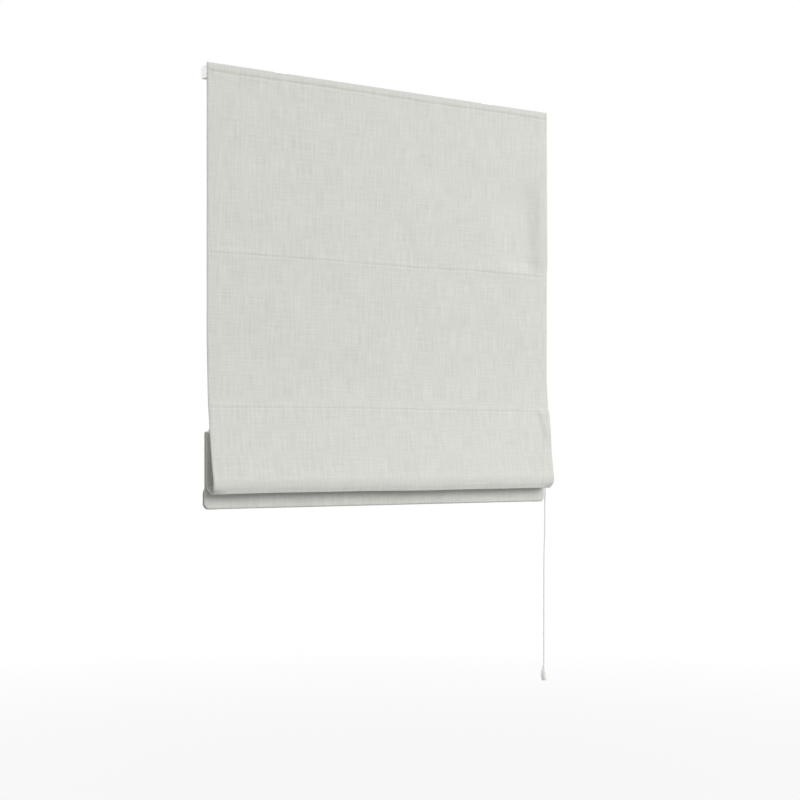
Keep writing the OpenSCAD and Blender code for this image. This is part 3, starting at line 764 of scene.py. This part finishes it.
def with_corners(s):
    """Columns for each row, drawn in along a quarter circle at the hem's lower corners."""
    z = np.interp(s, section_s, section[:, 1])
    below = np.clip((HEM_FOOT_Z + HEM_CORNER - z) / HEM_CORNER, 0, 1)
    lost = HEM_CORNER * (1 - np.sqrt(1 - below ** 2)) * (s > S_SKIRT)
    outer = np.sign(columns) * rise(np.abs(columns), HALF_W - 40, 40)
    return columns[None, :] - lost[:, None] * outer[None, :]


def face_part(name, rows, turn=SIDE_TURN, top_turn=0.0, finish=linen):
    """One part of the face cloth, from its row places."""
    x = with_corners(rows)
    s = np.repeat(rows[:, None], x.shape[1], axis=1)
    points, quads, uv, marks = turned_sheet(x, s, face_out(x, s), turn, top_turn)
    piece = mesh_piece(name, points, quads, finish, uv, marks)
    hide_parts("face_fabric")
    return piece


# %% Face cloth in four parts
FOLD_REACH = 34
seams_near = [S_HEADING, S_UPPER + 0.5, S_MIDDLE + 0.5]
hanging_rows = rows_between(EDGE_R, S_FOLD, 3.6, seams_near)
front_rows = np.concatenate([hanging_rows[hanging_rows < S_FOLD - FOLD_REACH],
                             np.linspace(S_FOLD - FOLD_REACH, S_FOLD - 4, 26),
                             np.linspace(S_FOLD - 3.2, S_FOLD, 6)])
back_rows = np.concatenate([np.linspace(S_FOLD, S_FOLD + 26, 22), np.linspace(S_FOLD + 30, S_BEND, 24)])
skirt_rows = np.concatenate([np.linspace(S_BEND, S_SKIRT, 14), np.linspace(S_SKIRT + 3, S_HEM, 40),
                             np.linspace(S_HEM, S_HEM_LOW, 9)[1:]])
hem_rows = np.concatenate([np.linspace(S_HEM_LOW, S_HEM_BACK, 9), np.linspace(S_HEM_BACK + 2, S_END, 16)])
face_panels = face_part("face_cloth_panels", front_rows, top_turn=TOP_TURN)
face_back = face_part("face_cloth_fold_back", back_rows, finish=fold_linen)
face_skirt = face_part("face_cloth_skirt", skirt_rows)
face_hem = face_part("face_cloth_hem_back", hem_rows, HEM_TURN)

# %% The face cloth on its bodies
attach(face_panels, "head")
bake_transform(face_back)
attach(face_skirt, "bottom")
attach(face_hem, "bottom")

# %% [markdown]
# ## Lining
# Behind the face cloth hangs a plain cream lining, tucked under the side turnings. It could be a copy of
# the face pushed back, but it is narrower, shorter and a touch slacker. So it is its own grid on the back
# of the section.

# %% Lining
LINING_BACK, LINING_HALF = -0.97, 386.0
S_LINING_TOP, LINING_FOOT_Z = 5.0, -757.0
S_LINING_END = S_SKIRT + BEND_Z - LINING_FOOT_Z
lining_columns = np.linspace(-LINING_HALF, LINING_HALF, 180)


def lining_part(name, rows, finish=lining_cloth):
    """One part of the lining: the cloth's back, drawn to the face at the seams and slack between them.
    At the seams a mark paints shade into its colour.
    """
    x, s = np.meshgrid(lining_columns, rows)
    # Bells at the seams draw the lining in and, as the seam mark, paint shade into its colour
    seams = sum(bump(s - line, 1.2) for line in (S_UPPER, S_MIDDLE))
    level = LINING_BACK + 0.12 * seams - 0.08 * hold(s) * (1 + np.sin(x / 31 + s / 47) * np.sin(x / 53))
    quads = quads_of(np.arange(x.size).reshape(x.shape), flip=True)
    piece = mesh_piece(name, place(x, s, level).reshape(-1, 3), quads, finish, pairs(x, s) * MM,
                       {"seam": np.clip(seams, 0, 1)})
    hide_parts("lining")
    return piece


panel_rows = np.concatenate([np.linspace(S_LINING_TOP, S_FOLD - FOLD_REACH, 170),
                             np.linspace(S_FOLD - FOLD_REACH + 2, S_FOLD, 24)])
lining_rows = np.concatenate([np.linspace(S_BEND, S_SKIRT, 16), np.linspace(S_SKIRT + 3, S_LINING_END, 30)])
lining_panels = lining_part("lining_panels", panel_rows)
lining_back = lining_part("lining_fold_back", back_rows, fold_lining)
lining_skirt = lining_part("lining_skirt", lining_rows)

# %% The lining on its bodies
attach(lining_panels, "head")
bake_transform(lining_back)
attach(lining_skirt, "bottom")

# %% [markdown]
# ## Stitches
# A sewn line is a row of short stitches that sink into the groove. The side turnings are felled to the
# lining by hand, with thicker stitches twice as far apart. Each stitch could be an object of its own, but
# there are more than a thousand. So a line is one mesh: one small spindle, repeated by adding every
# stitch's place to it as arrays.

# %% One row of stitches
SPINDLE = np.array([-1.0, -0.85, -0.4, 0.0, 0.4, 0.85, 1.0])
STITCH_L, STITCH_R, STITCH_SINK = 2.7, 0.24, 0.12


def stitch_row(name, body, x_places, s_places, level, thick=STITCH_R, down=False):
    """Spindles along x, or down the cloth, of radius thick * sqrt(1 - t^2) for t from -1 to 1.
    Both ends of a spindle sink into the cloth."""
    angle = np.arange(6) * np.pi / 3
    t = SPINDLE[None, :, None]
    side = thick * np.sqrt(1.0001 - t ** 2)
    over = level[:, None, None] + side * np.cos(angle) - STITCH_SINK * np.abs(t)
    lengthwise = t * STITCH_L / 2 + 0 * angle
    sideways = side * np.sin(angle)
    x = x_places[:, None, None] + (sideways if down else lengthwise)
    s = s_places[:, None, None] + (lengthwise if down else sideways)
    one = quads_of(ring_ids(len(SPINDLE), len(angle)), flip=down)
    quads = one[None] + np.arange(len(x_places))[:, None, None] * len(SPINDLE) * len(angle)
    uv = np.tile(pairs(angle / (2 * np.pi), lengthwise[0] * MM), (len(x_places), 1))
    piece = mesh_piece(name, place(x, s, over).reshape(-1, 3), quads.reshape(-1, 4), sewing_thread, uv)
    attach(piece, body)


# %% Sewn and felled lines
STITCH_PITCH = 3.7
FELL_PITCH = 2 * STITCH_PITCH
SEWN_OVER, FELLED_UNDER, FELL_R = 0.06, 0.02, 0.3
stitch_x = np.arange(-HALF_W + 6, HALF_W - 6, STITCH_PITCH)
for which in SEAM_LINES:
    line = seam_line(which, stitch_x)
    stitch_row(f"stitches_{which}", "head", stitch_x, line, face_out(stitch_x, line) + SEWN_OVER)
felled = HALF_W - SIDE_TURN - 0.6
FELLED_PARTS = [("panels", "head", 18, S_FOLD - 40), ("skirt", "bottom", S_SKIRT + 4, S_STITCHED)]
for side, x_side in (("left", -felled), ("right", felled)):
    for part, body, first_s, last_s in FELLED_PARTS:
        down = np.arange(first_s, last_s, FELL_PITCH)
        stitch_row(f"stitches_{part}_{side}", body, np.full(down.shape, x_side), down,
                   np.full(down.shape, FACE_BACK - FELLED_UNDER), FELL_R, down=True)
hem_line = np.full(stitch_x.shape, S_STITCHED)
stitch_row("stitches_hem", "bottom", stitch_x, hem_line, np.full(stitch_x.shape, FACE_OUT))

# %% [markdown]
# ## Rod pockets
# Each rod lies in a pocket of lining cloth. Seen from the end it is a loop round the rod with a flat sewn
# edge above it. A plain tube would look like a pipe. So the outline is carried across the blind as an
# open strip of cloth with small gathers, and drawn together round the rod at both ends.

# %% Outline of a pocket
ROD_HALF = 402.4
POCKET_R, POCKET_FLAT = 2.46, -2.22
SEWN_EDGE = 8.0


def pocket_outline(edge):
    """Outline of a pocket as (away from the cloth, up), round the rod's centre.
    It is an arc, flat where it lies on the cloth, and the sewn edge's two walls."""
    angle = np.radians(np.linspace(128 if edge else 180, -180, 22))
    loop = POCKET_R * np.stack([np.cos(angle), np.sin(angle)], axis=1)
    loop[:, 0] = np.maximum(loop[:, 0], POCKET_FLAT)
    front_wall = np.array([[-1.75, edge], [-1.70, 3.0]])
    back_wall = np.array([[POCKET_FLAT, 1.2], [POCKET_FLAT, edge]])
    return np.vstack([front_wall, loop, back_wall]) if edge else loop


def middle_of(rod):
    """The middle of a rod's section as (y, z) in mm, from its box."""
    low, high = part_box(rod)
    return (low.y + high.y) / 2 / MM, (low.z + high.z) / 2 / MM


# %% Rod pockets
def rod_pocket(level, body, lean, edge):
    """A pocket: the outline, turned by the cloth's lean, along x, and swelling in small gathers."""
    outline = pocket_outline(edge)
    x = np.concatenate([[-ROD_HALF], np.linspace(-ROD_HALF, ROD_HALF, 190), [ROD_HALF]])[:, None]
    gather = 1 + 0.018 * np.sin(x * 0.31) + 0.014 * np.sin(x * 0.83 + 1)
    gather[[0, -1]] = TIP
    away = np.maximum(outline[:, 0] * gather, POCKET_FLAT)
    up = outline[:, 1] * gather
    y_rod, z_rod = middle_of(f"rod_{level}")
    y = y_rod + away * math.cos(lean) + up * math.sin(lean)
    z = z_rod - away * math.sin(lean) + up * math.cos(lean)
    points = np.stack(np.broadcast_arrays(x, y, z), axis=-1).reshape(-1, 3) * MM
    round_it = travelled(outline)
    quads = quads_of(np.arange(len(points)).reshape(len(x), len(outline)))
    piece = mesh_piece(f"pocket_{level}_cloth", points, quads, lining_cloth, pairs(x, round_it) * MM)
    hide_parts(f"rod_pocket_{level}")
    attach(piece, body)


rod_pocket("upper", "head", 0.0, SEWN_EDGE)
rod_pocket("middle", "head", math.radians(MIDDLE_LEAN), SEWN_EDGE)
rod_pocket("lower", "bottom", 0.0, 0.0)

# %% [markdown]
# ## Moulded plastics
# Acorn, caps, guides and lock are moulded, and their skin is a fine copy of the mould's. One flat colour
# would look like paint. So a fine grain goes into bump and roughness, and the tone drifts slowly over the
# piece.


# %% Moulded plastics
def moulded(name, colour, roughness, grain, depth):
    """Moulded plastic: fine noise as grain in bump and roughness, and slow noise in the tone."""
    finish, shader = new_finish(name, colour, roughness)
    place_map = object_map(finish)
    skin = noise(finish, place_map, (grain,) * 3, 3.0)
    drift = noise(finish, place_map, (60, 60, 60))
    tinted(finish, shader, drift, colour, (0.3, 0.965), (0.7, 1.02))
    roughened(finish, shader, skin, roughness, 0.15)
    bumped(finish, shader, skin, depth)
    return finish


acorn_gloss = moulded("acorn_gloss", (0.90, 0.90, 0.87), 0.26, 700, 0.00002)
white_satin = moulded("white_satin", (0.84, 0.84, 0.82), 0.42, 1400, 0.00003)
clear_ring = moulded("clear_ring", (0.90, 0.91, 0.90), 0.16, 900, 0.00001)
clear_ring.node_tree.nodes["Principled BSDF"].inputs["Transmission Weight"].default_value = 0.55
print("plastics", acorn_gloss.name, white_satin.name, clear_ring.name)

# %% [markdown]
# ## Acorn and knot
# The acorn is a lathe shape, and the knot inside it is a lump with the cord's turns. A sphere pulled long
# would miss the lip, the bore and the hollow foot. So a profile goes up the bore, over the lip, down the
# swelling side and round the foot into the hollow that holds the knot, with a faint moulding line round
# its waist.

# %% Profile of the acorn
ACORN_H, ACORN_R, BORE_R, HOLLOW_R = 32.0, 6.5, 1.7, 2.6
SEAT, WAIST = ACORN_H * 0.72, ACORN_H * 0.6
NECK_R, FOOT_R = ACORN_R * 0.42, ACORN_R * 0.6
upper_side = pulled((NECK_R, 0), (ACORN_R * 0.5, -ACORN_H * 0.2), (ACORN_R, -ACORN_H * 0.3),
                    (ACORN_R, -WAIST), 26)
lower_side = pulled((ACORN_R, -WAIST), (ACORN_R, -ACORN_H * 0.85), (ACORN_R * 0.85, -ACORN_H),
                    (FOOT_R, -ACORN_H), 18)
profile = np.vstack([
    [(BORE_R, -SEAT), (BORE_R, -0.5), (BORE_R + 0.12, -0.12), (BORE_R + 0.4, 0)],
    upper_side[1:], lower_side,
    [(FOOT_R, -ACORN_H), (HOLLOW_R + 0.4, -ACORN_H), (HOLLOW_R + 0.1, -ACORN_H + 0.15),
     (HOLLOW_R, -ACORN_H + 0.5), (HOLLOW_R, -SEAT), (BORE_R, -SEAT)]])
profile[:, 0] -= 0.05 * bump(profile[:, 1] + WAIST, 0.35) * (profile[:, 0] > 5)
print("acorn profile", len(profile), "points")

# %% Acorn
ACORN_SIDES = 48
turns = np.arange(ACORN_SIDES) * 2 * np.pi / ACORN_SIDES
radius, down = profile[:, :1], profile[:, 1:]
points = np.stack(np.broadcast_arrays(EXIT_X + radius * np.cos(turns), CORD_Y + radius * np.sin(turns),
                                      -ACORN_TOP + down), axis=-1).reshape(-1, 3) * MM
acorn = mesh_piece("acorn_turned", points, quads_of(ring_ids(len(profile), ACORN_SIDES)), acorn_gloss)
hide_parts("cord_acorn")
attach(acorn, "acorn")

# %% Knot in the acorn
KNOT_R, KNOT_ROWS, KNOT_SIDES = 2.4, 20, 36
knot_low, knot_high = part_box("cord_knot")
KNOT_Z = (knot_low.z + knot_high.z) / 2 / MM
polar = np.linspace(0.02, np.pi - 0.02, KNOT_ROWS)[:, None]
turns = np.arange(KNOT_SIDES) * 2 * np.pi / KNOT_SIDES
lump = KNOT_R * (0.93 + 0.07 * np.cos(3 * turns + 2.5 * np.cos(polar)) * np.sin(polar))
points = np.stack([EXIT_X + lump * np.sin(polar) * np.cos(turns),
                   CORD_Y + lump * np.sin(polar) * np.sin(turns),
                   KNOT_Z - lump * np.cos(polar)], axis=-1).reshape(-1, 3) * MM
uv = pairs(turns / (2 * np.pi), polar * KNOT_R * MM)
knot = mesh_piece("knot_tied", points, quads_of(ring_ids(KNOT_ROWS, KNOT_SIDES), flip=True), cord_braid, uv)
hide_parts("cord_knot")
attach(knot, "acorn")

# %% The pull cord with its acorn
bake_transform(pull_cord)

# %% [markdown]
# ## Metals, coatings and tapes
# The rail is aluminium with a white powder coat, whose skin is like fine orange peel. Brackets, pins and
# bar are rolled or drawn, so they have fine streaks one way. The lock's brass roller is knurled to grip
# the cord, and hook and loop tapes have a dense pile. These solids keep their shape, and only their
# finish is made here.


# %% Metal finishes
def drawn_metal(name, colour, roughness, scale):
    """Metal with fine streaks: noise stretched along one axis drives tone, roughness and a shallow bump."""
    finish, shader = new_finish(name, colour, roughness, metallic=1.0)
    streaks = noise(finish, object_map(finish), scale, 3.0, 0.6)
    tinted(finish, shader, streaks, colour, (0.3, 0.93), (0.7, 1.04))
    roughened(finish, shader, streaks, roughness, 0.3)
    bumped(finish, shader, streaks, 0.00003)
    return finish


powder_coat = moulded("powder_coat", (0.85, 0.85, 0.84), 0.38, 2200, 0.00006)
zinc = drawn_metal("zinc_steel", (0.62, 0.63, 0.64), 0.34, (60, 900, 900))
pin_steel = drawn_metal("pin_steel", (0.60, 0.60, 0.61), 0.24, (700, 90, 700))
bar_metal = drawn_metal("bar_aluminium", (0.74, 0.74, 0.75), 0.32, (18, 900, 900))
rod_fibre = moulded("rod_fibre", (0.84, 0.82, 0.74), 0.5, 900, 0.00004)
print("coat and metals", powder_coat.name, zinc.name, pin_steel.name, bar_metal.name, rod_fibre.name)


# %% Knurled brass
def knurled(name, colour, roller, teeth):
    """Straight knurl on a roller along y: the height is the sine of teeth times the angle round it.
    The colour is darker in the knurl's valleys: painted shade.
    """
    finish, shader = new_finish(name, colour, 0.3, metallic=1.0)
    low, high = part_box(roller)
    upright = (math.pi / 2, 0, 0)
    centred = node(finish, "ShaderNodeMapping", {"Location": (low + high) / 2, "Rotation": upright},
                   vector_type="TEXTURE")
    wire(finish, object_map(finish), centred.inputs["Vector"])
    angle = node(finish, "ShaderNodeTexGradient", gradient_type="RADIAL")
    wire(finish, centred.outputs["Vector"], angle.inputs["Vector"])
    turn = math_node(finish, "MULTIPLY", angle.outputs["Fac"], 2 * math.pi * teeth)
    half = math_node(finish, "MULTIPLY", math_node(finish, "SINE", turn), 0.5)
    tooth = math_node(finish, "ADD", half, 0.5)
    # Darker in the valleys, lighter on the teeth: painted shade
    tinted(finish, shader, tooth, colour, (0.1, 0.72), (0.9, 1.05))
    bumped(finish, shader, tooth, 0.00025)
    return finish


brass = knurled("roller_brass", (0.78, 0.60, 0.30), "lock_roller", 26)
print("knurl", brass.name)


# %% Tapes
def looped_tape(name, colour, grain):
    """Hook or loop tape: a dense pile, as strong fine noise in the bump and the tone."""
    finish, shader = new_finish(name, colour, 0.9, specular=0.2)
    pile = noise(finish, object_map(finish), (grain,) * 3, 4.0, 0.7)
    tinted(finish, shader, pile, colour, (0.3, 0.8), (0.7, 1.08))
    bumped(finish, shader, pile, 0.0004)
    return finish


hook_nylon = looped_tape("hook_nylon", (0.80, 0.80, 0.79), 900)
loop_nylon = looped_tape("loop_nylon", (0.84, 0.84, 0.83), 1500)
print("tapes", hook_nylon.name, loop_nylon.name)

# %% Finishes of the CAD pieces
FINISH_OF = {
    "headrail": powder_coat, "left_end_cap": white_satin, "cord_lock_housing": white_satin,
    "mounting_bracket": zinc, "guide_pin": pin_steel, "lock_drum_pin": pin_steel, "lock_drum": white_satin,
    "lock_roller": brass, "hook_tape": hook_nylon, "loop_tape": loop_nylon, "rod_": rod_fibre,
    "cord_rings": clear_ring, "cord_anchors": clear_ring, "cord_stops": white_satin,
    "guide_housing": white_satin, "guide_pulley": white_satin,
    "bottom_bar": bar_metal, "bar_cap": white_satin,
}
for name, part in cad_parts.items():
    matches = [key for key in FINISH_OF if name.startswith(key)]
    if matches:
        part.data.materials.clear()
        part.data.materials.append(FINISH_OF[max(matches, key=len)])
print("CAD pieces shown:", sum(not part.hide_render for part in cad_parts.values()))

# %% [markdown]
# ## Light and stage
# The light on the blind is soft, and the fold's foot and the cloth below it are in half shade. One strong
# lamp would make hard shadows. So an even white world is joined by a wide lamp from above the front
# right, one lamp at the right, towards which the cloth grows lighter, one behind for the back, and a
# faint one at the left for cord and acorn. World and floor are white to the camera. The floor keeps a
# faint shadow, and is clear from below.

# %% World
AMBIENT = 0.515


def seen_ray(owner):
    """1 for rays of the camera, of reflections and of transmission, 0 for light."""
    rays = node(owner, "ShaderNodeLightPath").outputs
    direct = math_node(owner, "MAXIMUM", rays["Is Camera Ray"], rays["Is Glossy Ray"])
    return math_node(owner, "MAXIMUM", direct, rays["Is Transmission Ray"])


world = bpy.data.worlds.new("soft_world")
bpy.context.scene.world = world
world.use_nodes = True
sky = world.node_tree.nodes["Background"]
sky.inputs["Color"].default_value = (1, 1, 1, 1)
brightness = node(world, "ShaderNodeMapRange", {"To Min": AMBIENT, "To Max": 1.0})
wire(world, seen_ray(world), brightness.inputs["Value"])
wire(world, brightness.outputs["Result"], sky.inputs["Strength"])
print("world lights with", AMBIENT)

# %% Finish of the floor
floor_finish, floor_shader = new_finish("floor_white", (0.32, 0.32, 0.32), 0.9, specular=0.0)
# Distance from the origin in metres, and how white the floor is to the camera there
WHITE_NEAR, WHITE_FAR = (1.4, 0.9), (2.6, 1.0)


def shader_mix(share, a, b):
    """Shader a of the floor with a share of b."""
    made = node(floor_finish, "ShaderNodeMixShader")
    for source, socket in zip((share, a, b), made.inputs):
        wire(floor_finish, source, socket)
    return made.outputs["Shader"]


distance = node(floor_finish, "ShaderNodeVectorMath", operation="LENGTH")
wire(floor_finish, object_map(floor_finish), distance.inputs[0])
white = node(floor_finish, "ShaderNodeMapRange", {"From Min": WHITE_NEAR[0], "To Min": WHITE_NEAR[1],
                                                  "From Max": WHITE_FAR[0], "To Max": WHITE_FAR[1]})
wire(floor_finish, distance.outputs["Value"], white.inputs["Value"])
white_light = {"Color": (1, 1, 1, 1), "Strength": 1.0}
glow = node(floor_finish, "ShaderNodeEmission", white_light).outputs["Emission"]
glowing = math_node(floor_finish, "MULTIPLY", seen_ray(floor_finish), white.outputs["Result"])
from_above = shader_mix(glowing, floor_shader.outputs["BSDF"], glow)
clear = node(floor_finish, "ShaderNodeBsdfTransparent").outputs["BSDF"]
underside = node(floor_finish, "ShaderNodeNewGeometry").outputs["Backfacing"]
camera_ray = node(floor_finish, "ShaderNodeLightPath").outputs["Is Camera Ray"]
from_both = shader_mix(math_node(floor_finish, "MULTIPLY", underside, camera_ray), from_above, clear)
wire(floor_finish, from_both, floor_finish.node_tree.nodes["Material Output"].inputs["Surface"])
print("floor is see-through from below")

# %% Floor
FLOOR_Z, FLOOR_HALF = -1.32, 8
corners = [(x * FLOOR_HALF, y * FLOOR_HALF, FLOOR_Z) for x, y in ((-1, -1), (1, -1), (1, 1), (-1, 1))]
floor_mesh = bpy.data.meshes.new("floor")
floor_mesh.from_pydata(corners, [], [(0, 1, 2, 3)])
floor_mesh.materials.append(floor_finish)
floor = in_scene("floor", floor_mesh)
print("floor at", FLOOR_Z, "m")

# %% Lamps
# Each area lamp's place, what it aims at, its size and its power
LAMPS = {
    "right_lamp": ((2.5, -2.7, -0.15), (0.1, 0, -0.45), 1.8, 34),
    "back_lamp": ((-1.7, 2.6, 0.7), (0, 0, -0.45), 1.8, 40),
    "left_lamp": ((-2.8, 0.6, -0.9), (0.4, 0, -1.0), 1.2, 13),
}
HIGH_POWER, HIGH_SPREAD = 1.57, math.radians(36)
HIGH_TILT, HIGH_TURN = math.radians(64), math.radians(20)

for name, (at, aim, size, power) in LAMPS.items():
    light = bpy.data.lights.new(name, "AREA")
    light.size = size
    light.energy = power
    lamp = in_scene(name, light)
    lamp.location = at
    way = np.array(aim) - np.array(at)
    lamp.rotation_euler = (math.atan2(math.hypot(way[0], way[1]), -way[2]), 0, math.atan2(-way[0], way[1]))
sun = bpy.data.lights.new("high_lamp", "SUN")
sun.energy = HIGH_POWER
sun.angle = HIGH_SPREAD
in_scene("high_lamp", sun).rotation_euler = (HIGH_TILT, 0, HIGH_TURN)
bpy.context.scene.view_settings.view_transform = "Standard"
print("lamps", *LAMPS, "high_lamp")
